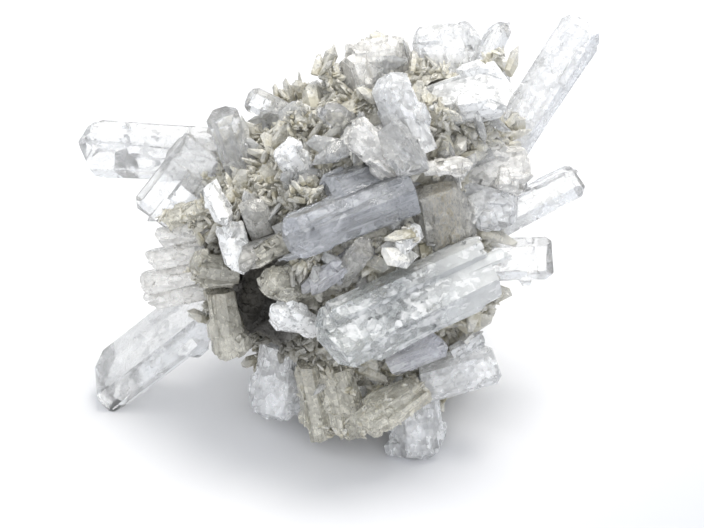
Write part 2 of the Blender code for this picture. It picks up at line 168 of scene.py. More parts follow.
# Selenite of each kind: clear tint, milky tint, share of it that is milky, transmission where clear and
# where milky, roughness where clear and where milky, how much sediment clings near its root, how
# steeply its surface is broken into facets, and the size of the largest facets in millimetres.
SELENITE = {
    "clear": ((0.93, 0.932, 0.93), (0.95, 0.952, 0.95), 0.36, 0.88, 0.62, 0.10, 0.28, 0.12, 0.03, 6.0),
    "cloudy": ((0.94, 0.945, 0.95), (0.97, 0.975, 0.98), 0.62, 0.72, 0.40, 0.10, 0.30, 0.30, 0.13, 3.6),
    "snow": ((0.97, 0.97, 0.96), (0.985, 0.985, 0.97), 0.78, 0.55, 0.20, 0.12, 0.34, 0.15, 0.16, 3.2),
    "creamy": ((0.95, 0.935, 0.90), (0.96, 0.945, 0.91), 0.64, 0.66, 0.34, 0.10, 0.32, 0.35, 0.15, 3.4),
    "silvery": ((0.85, 0.875, 0.87), (0.94, 0.94, 0.93), 0.52, 0.86, 0.42, 0.03, 0.16, 0.0, 0.09, 4.2),
    "blue": ((0.72, 0.735, 0.765), (0.80, 0.81, 0.825), 0.40, 0.82, 0.50, 0.05, 0.20, 0.35, 0.05, 5.0),
    "violet": ((0.82, 0.825, 0.87), (0.86, 0.865, 0.89), 0.45, 0.78, 0.50, 0.06, 0.24, 0.45, 0.06, 3.5),
    "smoky": ((0.82, 0.81, 0.77), (0.80, 0.785, 0.74), 0.45, 0.84, 0.50, 0.05, 0.24, 0.55, 0.10, 3.6),
    "earthy": ((0.86, 0.835, 0.735), (0.86, 0.83, 0.725), 0.55, 0.72, 0.36, 0.10, 0.34, 0.95, 0.18, 3.0),
    "brown_dome": ((0.80, 0.79, 0.75), (0.78, 0.76, 0.70), 0.40, 0.80, 0.45, 0.05, 0.22, 0.30, 0.16, 3.4),
}

# Crystals that look like another kind than their slot's.
LOOKS = {
    "brown_dome": "brown_dome", "upper_right_blade": "cloudy", "lower_right_blade": "cloudy",
    "lower_right_stub": "cloudy", "left_spray_b": "creamy", "left_spray_c": "creamy",
    "left_spray_d": "creamy", "left_spray_e": "creamy",
}

# How strong each feature is in each kind: dark specks, cracks inside, feathered milk, stripes.
SPECKS = {"silvery": 0.95, "smoky": 0.4, "brown_dome": 0.9, "blue": 0.25, "earthy": 0.55, "clear": 0.03}
CRACKED = {"silvery": 0.85, "snow": 0.3, "cloudy": 0.4, "creamy": 0.35, "clear": 0.3, "blue": 0.35}
FEATHER = {"silvery": 0.9, "blue": 0.4, "violet": 0.4, "smoky": 0.6, "brown_dome": 0.8, "clear": 0.4}
STRIPES = {"violet": 1.0, "smoky": 0.5, "earthy": 0.5, "clear": 0.12, "silvery": 0.12, "blue": 0.6}

# Milky, with few specks and cracks, between these shares of a crystal's length.
CLEAN_END = {"silvery": (0.45, 0.75)}

# Brown inside, fading between these distances from the middle, in millimetres.
CORES = {"brown_dome": (1.5, 7.0)}
SEDIMENT = (0.40, 0.36, 0.27)
SPECK_TONE = {
    "silvery": (0.15, 0.18, 0.17), "blue": (0.26, 0.27, 0.29), "smoky": (0.33, 0.29, 0.21),
    "earthy": (0.31, 0.275, 0.20), "brown_dome": (0.36, 0.32, 0.235),
}
SELENITE_IOR = 1.52


# ---------------- noise on arrays of points


def lattice(i, j, k, seed):
    """A random value from 0 to 1 for each whole-numbered point."""
    h = i * 73856093 ^ j * 19349663 ^ k * 83492791 ^ (seed + 1) * 40503
    h = (h & 0x7FFFFFFF) * 1103515245 & 0x7FFFFFFF
    h = (h ^ (h >> 15)) * 1274126177 & 0x7FFFFFFF
    return ((h ^ (h >> 13)) & 0xFFFFF) / 0xFFFFF


def soft_noise(points, seed=0):
    """Smooth noise from 0 to 1, with about one bump per unit."""
    base = np.floor(points).astype(np.int64)
    t = points - base
    t = t * t * (3 - 2 * t)
    total = 0
    for corner in range(8):
        d = [(corner >> axis) & 1 for axis in range(3)]
        share = np.prod([t[:, a] if d[a] else 1 - t[:, a] for a in range(3)], axis=0)
        total = total + share * lattice(base[:, 0] + d[0], base[:, 1] + d[1], base[:, 2] + d[2], seed)
    return total


def layered_noise(points, seed=0, octaves=3):
    total, size = 0, 1.0
    for octave in range(octaves):
        total = total + size * soft_noise(points * 2**octave, seed + octave)
        size /= 2
    return total / (2 - 2 * size)


def cell_noise(points, seed=0):
    """For cells of about one unit: the value of each point's cell, and how far it is inside its cell."""
    base = np.floor(points).astype(np.int64)
    nearest = np.full(len(points), 9.0)
    second = np.full(len(points), 9.0)
    value = np.zeros(len(points))
    for step in range(27):
        i, j, k = (base[:, a] + step // 3**a % 3 - 1 for a in range(3))
        seeds = [lattice(i, j, k, seed + 11 * a) for a in range(3)]
        centre = np.stack([i + seeds[0], j + seeds[1], k + seeds[2]], axis=1)
        distance = np.linalg.norm(points - centre, axis=1)
        closer = distance < nearest
        second = np.where(closer, nearest, np.minimum(second, distance))
        value = np.where(closer, lattice(i, j, k, seed + 37), value)
        nearest = np.minimum(nearest, distance)
    return value, second - nearest


# ---------------- meshes


def read_mesh(mesh):
    """(positions, normals, edges) of a mesh, as arrays."""
    count = len(mesh.vertices)
    positions = np.empty(count * 3, np.float32)
    normals = np.empty(count * 3, np.float32)
    edges = np.empty(len(mesh.edges) * 2, np.int32)
    mesh.vertices.foreach_get("co", positions)
    mesh.vertex_normals.foreach_get("vector", normals)
    mesh.edges.foreach_get("vertices", edges)
    positions, normals = (values.reshape(-1, 3).astype(float) for values in (positions, normals))
    return positions, normals, edges.reshape(-1, 2)


def positions_of(mesh):
    return np.array([v.co[:] for v in mesh.vertices])


def extent(mesh, axes):
    """The least and the greatest place of a mesh along its crystal's axes."""
    local = positions_of(mesh) @ axes.T
    return local.min(axis=0), local.max(axis=0)


def write_positions(mesh, positions):
    mesh.vertices.foreach_set("co", positions.astype(np.float32).ravel())
    mesh.update()


def add_values(mesh, name, values, kind="FLOAT"):
    """Stores a value, or a vector, at each vertex for the materials to read."""
    attribute = mesh.attributes.new(name, kind, "POINT")
    attribute.data.foreach_set("value" if kind == "FLOAT" else "vector", values.astype(np.float32).ravel())


def neighbour_mean(values, edges):
    """The mean of each vertex's neighbours."""
    count = len(values)
    ends = np.concatenate([edges[:, 0], edges[:, 1]])
    others = np.concatenate([edges[:, 1], edges[:, 0]])
    weight = np.maximum(np.bincount(ends, minlength=count), 1)
    columns = [np.bincount(ends, values[others, c], count) / weight for c in range(values.shape[1])]
    return np.stack(columns, axis=1)


def new_object(name, bm):
    """A shown object from a bmesh, which is freed."""
    mesh = bpy.data.meshes.new(name)
    bm.to_mesh(mesh)
    bm.free()
    obj = bpy.data.objects.new(name, mesh)
    bpy.context.scene.collection.objects.link(obj)
    return obj


def welded_copy(node, name):
    """A new object with the CAD node's shape, its flat faces whole again."""
    bm = bmesh.new()
    bm.from_mesh(node.data)
    bmesh.ops.remove_doubles(bm, verts=bm.verts[:], dist=0.0005 * MM)
    bmesh.ops.dissolve_limit(bm, angle_limit=math.radians(0.5), verts=bm.verts[:], edges=bm.edges[:])
    for face in bm.faces:
        face.smooth = False
    return new_object(name, bm)


def dress(obj, look):
    """Gives obj flat faces and that material alone."""
    obj.data.materials.clear()
    obj.data.materials.append(look)
    for face in obj.data.polygons:
        face.use_smooth = False
        face.material_index = 0


def bake_modifiers(obj):
    """Puts obj's modifiers into its mesh."""
    bpy.context.view_layer.update()
    mesh = bpy.data.meshes.new_from_object(obj.evaluated_get(bpy.context.evaluated_depsgraph_get()))
    obj.modifiers.clear()
    old, obj.data = obj.data, mesh
    bpy.data.meshes.remove(old)


def combine(obj, other, operation):
    """Joins other to obj, or cuts it away, and removes other."""
    modifier = obj.modifiers.new("combine", "BOOLEAN")
    modifier.operation = operation
    modifier.solver = "MANIFOLD"
    modifier.object = other
    faces = len(obj.data.polygons)
    kept = obj.data.copy()
    bake_modifiers(obj)
    if len(obj.data.polygons) < 4 and faces >= 4:
        obj.data = kept
    bpy.data.objects.remove(other)


def hull(name, points):
    """An object: the convex solid round some points."""
    bm = bmesh.new()
    verts = [bm.verts.new(p) for p in points]
    made = bmesh.ops.convex_hull(bm, input=verts)
    unused = {v for v in made["geom_unused"] + made["geom_interior"] if isinstance(v, bmesh.types.BMVert)}
    bmesh.ops.delete(bm, geom=list(unused), context="VERTS")
    bmesh.ops.recalc_face_normals(bm, faces=bm.faces[:])
    return new_object(name, bm)


def crystal_axes(mesh):
    """Rows: across the crystal, through it, and along it. Its prism faces all lie along its length, and
    its largest faces look through it."""
    total = np.zeros((3, 3))
    for face in mesh.polygons:
        normal = np.array(face.normal)
        total += face.area * np.outer(normal, normal)
    _, vectors = np.linalg.eigh(total)
    along, through = vectors[:, 0], vectors[:, 2]
    if np.dot(positions_of(mesh).mean(axis=0) - np.array(MIDDLE), along) < 0:
        along = -along
    return np.array([np.cross(through, along), through, along])


def scatter(rng, spread):
    """A random vector, with that deviation along each axis."""
    return Vector([rng.gauss(0, spread) for _ in range(3)])


def tree_of(obj):
    mesh = obj.data
    mesh.calc_loop_triangles()
    points = [v.co for v in mesh.vertices]
    return BVHTree.FromPolygons(points, [t.vertices for t in mesh.loop_triangles])


def surface_spots(obj, rng, count):
    """(point, normal) of spots spread at random over an object's surface."""
    mesh = obj.data
    mesh.calc_loop_triangles()
    areas = np.array([t.area for t in mesh.loop_triangles])
    picks = rng.choices(range(len(areas)), weights=areas.tolist(), k=count)
    spots = []
    for pick in picks:
        triangle = mesh.loop_triangles[pick]
        a, b, c = (mesh.vertices[i].co for i in triangle.vertices)
        u, v = rng.random(), rng.random()
        if u + v > 1:
            u, v = 1 - u, 1 - v
        spots.append((a + u * (b - a) + v * (c - a), triangle.normal.copy()))
    return spots


def lath_points(rng, width, thick, length):
    """The corners of one small double-ended gypsum blade, centred, with its length along Z."""
    cap = min(width * rng.uniform(0.4, 1.1), length * 0.3)
    points = []
    for end in (1, -1):
        z = end * (length / 2 - cap)
        slant = rng.uniform(-0.3, 0.3) * cap
        for x, y in ((0.5, 0), (0.32, 0.5), (-0.32, 0.5), (-0.5, 0), (-0.32, -0.5), (0.32, -0.5)):
            points.append((x * width, y * thick, z + x * 2 * slant))
        shift = rng.uniform(-0.3, 0.3) * width
        points.append((shift - 0.08 * width, 0, end * length / 2))
        points.append((shift + 0.08 * width, 0, end * (length / 2 - 0.1 * cap)))
    return points


# ---------------- the crystals


def placed(points, across, through, along, centre):
    return [centre + across * x + through * y + along * z for x, y, z in points]


def add_laths(crystal, node, axes, rng, count, low, high):
    """Joins narrower parallel crystals to a crystal's sides and end, as it grew."""
    along = Vector(axes[2])
    start, end = extent(node.data, axes)
    width, thick, length = end - start
    for point, normal in surface_spots(node, rng, count):
        facing = normal.dot(along)
        lath_wide = min(width, 18 * MM) * rng.uniform(low, high)
        lath_thick = min(lath_wide * rng.uniform(0.4, 0.9), thick)
        lath_long = length * rng.uniform(0.15, 0.5)
        if abs(facing) < 0.6:
            through = (normal - along * facing).normalized()
            centre = point - normal * lath_thick * rng.uniform(0.2, 0.42)
        else:
            through = Vector(axes[1])
            centre = point - along * math.copysign(lath_long * rng.uniform(0.3, 0.45), facing)
        axis = (along + scatter(rng, 0.04)).normalized()
        through = (through - axis * through.dot(axis)).normalized()
        across = through.cross(axis)
        points = lath_points(rng, lath_wide, lath_thick, lath_long)
        combine(crystal, hull("lath", placed(points, across, through, axis, centre)), "UNION")


def slice_end(crystal, axes, rng, count, deep):
    """Breaks thin slices off a crystal's end, each along a plane of its own."""
    along = Vector(axes[2])
    for _ in range(count):
        normal = (along * rng.uniform(0.3, 1.2) + scatter(rng, 1) * 0.8).normalized()
        if normal.dot(along) < 0.15:
            continue
        top = max(v.co.dot(normal) for v in crystal.data.vertices)
        level = top - deep * rng.uniform(0.3, 1.0) * MM
        side = normal.orthogonal().normalized() * CUTTER
        other = normal.cross(side)
        middle = normal * (level - normal.dot(crystal_middle(crystal))) + crystal_middle(crystal)
        corners = [(a, b, c) for a in (-1, 1) for b in (-1, 1) for c in (0, 1)]
        points = [middle + side * a + other * b + normal * c * CUTTER for a, b, c in corners]
        combine(crystal, hull("slice", points), "DIFFERENCE")


def level_base(crystal):
    """Flattens what would reach below the floor."""
    if min(v.co.z for v in crystal.data.vertices) < 0:
        below = [Vector((a, b, c)) * CUTTER for a in (-1, 1) for b in (-1, 1) for c in (-1, 0)]
        combine(crystal, hull("ground", below), "DIFFERENCE")


def crystal_middle(crystal):
    return sum((v.co for v in crystal.data.vertices), Vector()) / len(crystal.data.vertices)


def sharp_edges(mesh):
    """(end, end, length) of a crystal's convex edges."""
    bm = bmesh.new()
    bm.from_mesh(mesh)
    found = []
    for edge in bm.edges:
        if len(edge.link_faces) == 2 and edge.is_convex and edge.calc_face_angle() > 0.4:
            found.append((edge.verts[0].co.copy(), edge.verts[1].co.copy(), edge.calc_length()))
    bm.free()
    return found


def chip_edges(crystal, rng, count, size):
    """Breaks small flakes off a crystal's edges."""
    edges = sharp_edges(crystal.data)
    if not edges:
        return
    picks = rng.choices(edges, weights=[e[2] for e in edges], k=count)
    for start, end, _ in picks:
        centre = start.lerp(end, rng.random())
        radius = size * rng.uniform(0.35, 1.0) * MM
        points = []
        for _ in range(9):
            way = scatter(rng, 1).normalized()
            points.append(centre + way * radius * rng.uniform(0.7, 1.1))
        combine(crystal, hull("chip", points), "DIFFERENCE")


def ragged_disc(rng, centre, side, other, radius, corners, least):
    """Points round a disc, in units of side and other, each at a least share of its radius or more."""
    points = []
    for i in range(corners):
        angle = 2 * math.pi * i / corners
        spread = radius * rng.uniform(least, 1.0)
        points.append(centre + side * spread * math.cos(angle) + other * spread * math.sin(angle))
    return points


def crack(crystal, node, axes, rng, count):
    """Opens hairline cracks across a crystal."""
    low, high = extent(node.data, axes)
    for _ in range(count):
        at = [low[a] + (high[a] - low[a]) * rng.uniform(0.12, 0.88) for a in range(3)]
        at[0] = rng.choice((low[0], high[0]))
        centre = Vector(np.array(at) @ axes)
        normal = (Vector(axes[2]) + scatter(rng, 0.35)).normalized()
        reach = (high[0] - low[0]) * rng.uniform(0.25, 0.75)
        side = normal.orthogonal().normalized()
        rim = ragged_disc(rng, centre, side, normal.cross(side), reach, 9, 0.7)
        tips = [centre + normal * CRACK_WIDE * 0.5, centre - normal * CRACK_WIDE * 0.5]
        # The tips come again after each point of the rim, which settles the order of the hull's corners.
        points = [corner for point in rim for corner in (point, *tips)]
        combine(crystal, hull("crack", points), "DIFFERENCE")


def record_growth(crystal, axes, dark):
    """Stores where each vertex is across, through and along its crystal in millimetres, how far along it
    is, and, if the crystal takes painted shade in the cleft, how deep in the cleft it is."""
    positions = positions_of(crystal.data)
    centre = positions.mean(axis=0)
    local = (positions - centre) @ axes.T / MM
    reach = (local[:, 2] - local[:, 2].min()) / (local[:, 2].max() - local[:, 2].min())
    add_values(crystal.data, "growth", local, "FLOAT_VECTOR")
    add_values(crystal.data, "reach", reach)
    add_values(crystal.data, "dark", np.array([in_cleft(Vector(p)) if dark else 0.0 for p in positions]))


def is_inside(tree, point, margin):
    """Whether a point is inside a closed shape, at least margin below its surface."""
    near, normal, _, distance = tree.find_nearest(point)
    return distance > margin and (near - point).dot(normal) > 0


def add_veils(node, axes, count, rng):
    """Thin cloudy sheets inside a crystal, along its cleavage."""
    tree = tree_of(node)
    low, high = extent(node.data, axes)
    size = high - low
    bm = bmesh.new()
    for _ in range(count):
        wide = size[0] * rng.uniform(0.25, 0.7)
        long = min(wide * rng.uniform(1.0, 2.8), size[2] * 0.6)
        centre = Vector(np.array([low[a] + size[a] * rng.uniform(0.25, 0.75) for a in range(3)]) @ axes)
        through = (Vector(axes[1]) + scatter(rng, 0.12)).normalized()
        along = (Vector(axes[2]) - through * through.dot(Vector(axes[2]))).normalized()
        across = through.cross(along)
        rim = ragged_disc(rng, centre, across * wide, along * long, 0.5, VEIL_CORNERS, 0.65)
        rim = [p if is_inside(tree, p, 0.4 * MM) else centre.lerp(p, 0.5) for p in rim]
        if not all(is_inside(tree, p, 0.3 * MM) for p in rim):
            continue
        top = [bm.verts.new(p + through * VEIL_THICK / 2) for p in rim]
        bottom = [bm.verts.new(p - through * VEIL_THICK / 2) for p in rim]
        bm.faces.new(top)
        bm.faces.new(bottom[::-1])
        for i in range(VEIL_CORNERS):
            j = (i + 1) % VEIL_CORNERS
            bm.faces.new((top[j], top[i], bottom[i], bottom[j]))
    if not bm.faces:
        bm.free()
        return
    bmesh.ops.recalc_face_normals(bm, faces=bm.faces[:])
    veils = new_object(f"{node.name}_veils", bm)
    veils.data.materials.append(veil_material())
    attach(veils, "root")


def build_crystals():
    """All the larger crystals. Returns the axes of each."""
    axes_of = {}
    for name in sorted(n for n in NODES if n != "matrix"):
        rng = random.Random(name)
        node, slot = NODES[name], SLOTS[name]
        axes = crystal_axes(node.data)
        laths, low, high, slices, deep, chips, chip_size = GROWTH.get(name, GROWTH[slot])
        crystal = welded_copy(node, f"{name}_crystal")
        add_laths(crystal, node, axes, rng, laths, low, high)
        slice_end(crystal, axes, rng, slices, deep)
        chip_edges(crystal, rng, chips, chip_size)
        level_base(crystal)
        crack(crystal, node, axes, rng, CRACKS.get(name, 0))
        dress(crystal, selenite(LOOKS.get(name, slot)))
        record_growth(crystal, axes, name in SHADED_IN_CLEFT)
        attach(crystal, "root")
        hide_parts(name)
        axes_of[name] = axes
        if VEILS.get(name):
            add_veils(node, axes, VEILS[name], rng)
    return axes_of


# ---------------- the matrix and its crust


def build_rock():
    """The lump itself: rough, with sediment in its hollows, laid darker there as painted shade, and
    painted shade in the cleft.
    """
    rock = bpy.data.objects.new("matrix_rock", NODES["matrix"].data.copy())
    bpy.context.scene.collection.objects.link(rock)
    modifier = rock.modifiers.new("even", "REMESH")
    modifier.mode = "VOXEL"
    modifier.voxel_size = ROCK_VOXEL_MM * MM
    bake_modifiers(rock)
    positions, normals, edges = read_mesh(rock.data)
    smooth = positions
    for _ in range(60):
        smooth = neighbour_mean(smooth, edges)
    # How far each place stands out of the smoothed lump: the material darkens the hollows by it, as
    # sediment and painted shade.
    height = ((positions - smooth) * normals).sum(axis=1) / MM
    spots = positions / MM
    value, inside = cell_noise(spots / 2.2, 3)
    depth = 1.1 * value * np.clip(inside * 6, 0, 1) + 0.8 * layered_noise(spots * 0.6, 7)
    depth += 0.25 * layered_noise(spots * 2.0, 8)
    write_positions(rock.data, positions - normals * depth[:, None] * MM)
    add_values(rock.data, "height", height)
    # How deep in the cleft each place is, for the painted shade there.
    add_values(rock.data, "dark", np.array([in_cleft(Vector(p)) for p in positions]))
    dress(rock, rock_material())
    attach(rock, "root")
    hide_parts("matrix")


def shoot_shapes():
    """A few small crystals to build the crust from: points and triangles, one unit long and wide."""
    rng = random.Random(5)
    shapes = []
    for form in range(16):
        flat = rng.uniform(0.2, 0.5)
        slope = rng.choice((-1, 1)) * rng.uniform(0.25, 0.5)
        shoulder = rng.uniform(0.5, 0.72)
        points = []
        for x, y in ((0.5, 0), (0.34, 0.5), (-0.34, 0.5), (-0.5, 0), (-0.34, -0.5), (0.34, -0.5)):
            points.append((x * 0.8, y * flat * 0.8, 0))
            points.append((x, y * flat, shoulder + x * slope))
        peak = math.copysign(rng.uniform(0.05, 0.4), slope)
        if form % 2:
            points.append((peak, 0, 1))
        else:
            points += [(peak, -0.3 * flat, 1), (peak, 0.3 * flat, 1), (peak * 0.2, 0, 0.94)]
        bm = bmesh.new()
        made = bmesh.ops.convex_hull(bm, input=[bm.verts.new(p) for p in points])
        bmesh.ops.delete(bm, geom=list(set(made["geom_unused"] + made["geom_interior"])), context="VERTS")
        bmesh.ops.triangulate(bm, faces=bm.faces[:])
        bmesh.ops.recalc_face_normals(bm, faces=bm.faces[:])
        bm.verts.index_update()
        corners = np.array([v.co[:] for v in bm.verts])
        faces = np.array([[v.index for v in f.verts] for f in bm.faces])
        shapes.append((corners, faces))
        bm.free()
    return shapes


def turn_to(along, roll):
    """Rotation, as rows, that sets a crystal's length along a direction."""
    side = along.orthogonal().normalized()
    side.rotate(Matrix.Rotation(roll, 3, along))
    return np.array([side, along.cross(side), along])


class Larger:
    """The larger crystals, as obstacles to the crust."""

    def __init__(self):
        names = [n for n in NODES if n != "matrix"]
        self.trees = [tree_of(NODES[n]) for n in names]
        self.boxes = [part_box(n) for n in names]

    def crowded(self, point, margin):
        for tree, (low, high) in zip(self.trees, self.boxes):
            if all(low[a] - margin < point[a] < high[a] + margin for a in range(3)):
                near, normal, _, distance = tree.find_nearest(point)
                if distance < margin or (near - point).dot(normal) > 0:
                    return True
        return False

    def free_length(self, start, along, length):
        """How much of the length can grow before it meets a larger crystal."""
        nearest = length
        end = start + along * length
        for tree, (low, high) in zip(self.trees, self.boxes):
            if all(min(start[a], end[a]) < high[a] and max(start[a], end[a]) > low[a] for a in range(3)):
                hit = tree.ray_cast(start, along, length)
                if hit[0] is not None:
                    nearest = min(nearest, hit[3])
        return nearest


def shoot_at(shapes, rng, start, along, roll, length, width, shade):
    """One small crystal: its corners, faces, reach and shade."""
    points, faces = shapes[rng.randrange(len(shapes))]
    where = (points * (width, width, length)) @ turn_to(along, roll) + np.array(start)
    return where, faces, points[:, 2], shade


def paleness(point):
    """How pale the small crystals are at a place: more so towards the right and the top, less at the left
    and the base.
    """
    across = (point.x - CAD_BOX[0].x) / (CAD_BOX[1].x - CAD_BOX[0].x)
    up = (point.z - CAD_BOX[0].z) / (CAD_BOX[1].z - CAD_BOX[0].z)
    by_side, by_height, start = PALENESS_BY
    return min(1, max(0, by_side * across + by_height * up + start))


def in_cleft(point):
    """How deep in the cleft a place is: 1 in its middle, 0 outside it."""
    away = Vector([(point[a] - CLEFT[a]) / CLEFT_SIZE[a] for a in range(3)]).length
    return min(1, max(0, 1.6 - away))


def clumps_of(rng, shapes, layer, larger):
    """(place, small crystal) of one layer of the crust, in clumps all over the matrix."""
    clumps, long, wide, spread, margin, together = layer
    shoots = []
    for point, normal in surface_spots(NODES["matrix"], rng, clumps):
        paler = paleness(point)
        if larger.crowded(point, (margin + CLEARING * paler) * MM) or in_cleft(point) > 0.75:
            continue
        if rng.random() < THIN_OUT * paler:
            continue
        outward = (point - MIDDLE).normalized()
        common = (normal * 0.7 + outward * 0.5 + scatter(rng, spread)).normalized()
        if common.dot(normal) < 0.1:
            common = (common + normal * 0.6).normalized()
        size = rng.lognormvariate(0, 0.3) * (FINEST + (1 - FINEST) * 1.3 * paler)
        roll = rng.uniform(0, math.pi)
        shade = 0.55 * paler + 0.25 * rng.random()
        for _ in range(rng.randint(1, together)):
            along = (common + scatter(rng, 0.2)).normalized()
            length = long * MM * size * rng.uniform(0.6, 1.3)
            width = wide * MM * size * rng.uniform(0.6, 1.3)
            shift = Vector([rng.uniform(-1, 1) for _ in range(3)]) * 0.8 * wide * MM * size
            shift -= normal * shift.dot(normal)
            start = point + shift - along * 0.3 * length
            length = larger.free_length(start, along, length) if rng.random() < 0.7 else length
            if length < 0.9 * width:
                continue
            value = shade + rng.random() * 0.25
            turned = roll + rng.gauss(0, 0.25)
            shoots.append((point, shoot_at(shapes, rng, start, along, turned, length, width, value)))
    return shoots


def dust_on(name, rng, shapes):
    """(place, small crystal) of the small crystals that cling to an earthy crystal."""
    shoots = []
    for point, normal in surface_spots(NODES[name], rng, DUSTING):
        if in_cleft(point) > 0.5:
            continue
        along = (normal * 0.5 + scatter(rng, 0.6)).normalized()
        length, width = rng.uniform(*DUST_LONG) * MM, rng.uniform(*DUST_WIDE) * MM
        start = point - along * length * 0.4
        value = 0.25 + 0.6 * rng.random()
        roll = rng.uniform(0, math.pi)
        shoots.append((point, shoot_at(shapes, rng, start, along, roll, length, width, value)))
    return shoots


def grow_crust():
    """Small crystals all over the matrix, wherever no larger crystal is in the way, and on the earthy
    crystals."""
    rng = random.Random(11)
    shapes = shoot_shapes()
    larger = Larger()
    shoots = []
    for layer in CRUST:
        shoots += clumps_of(rng, shapes, layer, larger)
    for name in sorted(n for n in SLOTS if SLOTS[n] == "earthy"):
        shoots += dust_on(name, rng, shapes)
    join_by_place("crust", shoots, crust_material())


def shards_round(name, axes, rng, shapes, rock):
    """(place, small crystal) of the middle-sized crystals round the foot of a large one."""
    along, host, lonely = Vector(axes[2]), tree_of(NODES[name]), name in LONELY
    shoots = []
    for point, normal in surface_spots(NODES[name], rng, SHARDS * (2 if lonely else 3)):
        distance = rock.find_nearest(point)[3]
        if distance > (2.5 if lonely else 5) * MM or in_cleft(point) > 0.3:
            continue
        if lonely and (point - crystal_middle(NODES[name])).dot(along) > 0:
            continue
        if is_inside(rock, point, 1.5 * MM) or rng.random() < 0.45:
            continue
        way = (normal * 0.55 + along * 0.5 + scatter(rng, 0.5)).normalized()
        size = 1 + 0.45 * paleness(point)
        length = rng.uniform(*SHARD_LONG) * MM * size
        width = rng.uniform(*SHARD_WIDE) * MM * size
        if (point + way * length * 0.55).z < SHARD_LOWEST:
            continue
        start = point - way * length * 0.45
        if not (is_inside(host, start, 0.5 * MM) or is_inside(rock, start, 0.5 * MM)):
            continue
        shade = 0.15 + 0.6 * paleness(point) + 0.25 * rng.random()
        roll = rng.uniform(0, math.pi)
        shoots.append((point, shoot_at(shapes, rng, start, way, roll, length, width, shade)))
    return shoots


def blocks(rng, shapes, rock):
    """(place, small crystal) of the broad crystals in the pale part of the crust."""
    shoots = []
    for point, normal in surface_spots(NODES["matrix"], rng, BLOCKS):
        if rng.random() > paleness(point) - 0.12 or in_cleft(point) > 0:
            continue
        way = (normal + scatter(rng, 0.35)).normalized()
        length, width = rng.uniform(*BLOCK_LONG) * MM, rng.uniform(*BLOCK_WIDE) * MM
        start = point - way * length * 0.58
        shade = 0.25 + 0.55 * paleness(point) + 0.2 * rng.random()
        if (point + way * length * 0.5).z > SHARD_LOWEST and is_inside(rock, start, 0.5 * MM):
            roll = rng.uniform(0, math.pi)
            shoots.append((point, shoot_at(shapes, rng, start, way, roll, length, width, shade)))
    return shoots


def grow_shards(axes_of):
    """Middle-sized crystals crowded round the feet of the large ones, and broad ones between them."""
    rng = random.Random(23)
    shapes = shoot_shapes()
    rock = tree_of(NODES["matrix"])
    shoots = []
    for name, axes in axes_of.items():
        shoots += shards_round(name, axes, rng, shapes, rock)
    shoots += blocks(rng, shapes, rock)
    join_by_place("shards", shoots, shard_material())


def join_by_place(name, shoots, look):
    """Joins small crystals, except any that would reach below the floor, into one object for each
    eighth of the cluster."""
    groups = {}
    for point, shoot in shoots:
        if shoot[0][:, 2].min() < 0.0002:
            continue
        group = (point.x > MIDDLE.x, point.y > MIDDLE.y, point.z > MIDDLE.z)
        groups.setdefault(group, []).append(shoot)
    for number, key in enumerate(sorted(groups)):
        join_shoots(f"{name}_{number}", groups[key], look)


def join_shoots(name, shoots, look):
    """One object from many small crystals."""
    offset, verts, tris, reach, shade, growth = 0, [], [], [], [], []
    for where, faces, along, value in shoots:
        verts.append(where)
        tris.append(faces + offset)
        reach.append(along)
        shade.append(np.full(len(where), value))
        growth.append(where / MM + 40 * value)
        offset += len(where)
    mesh = bpy.data.meshes.new(name)
    mesh.from_pydata(np.concatenate(verts).tolist(), [], np.concatenate(tris).tolist())
    mesh.update()
    add_values(mesh, "reach", np.concatenate(reach))
    add_values(mesh, "shade", np.concatenate(shade))
    add_values(mesh, "growth", np.concatenate(growth), "FLOAT_VECTOR")
    # How deep in the cleft each vertex is, for the painted shade there.
    dark = [in_cleft(Vector(p)) for p in np.concatenate(verts)]
    add_values(mesh, "dark", np.array(dark))
    mesh.materials.append(look)
    obj = bpy.data.objects.new(name, mesh)
    bpy.context.scene.collection.objects.link(obj)
    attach(obj, "root")


# ---------------- materials


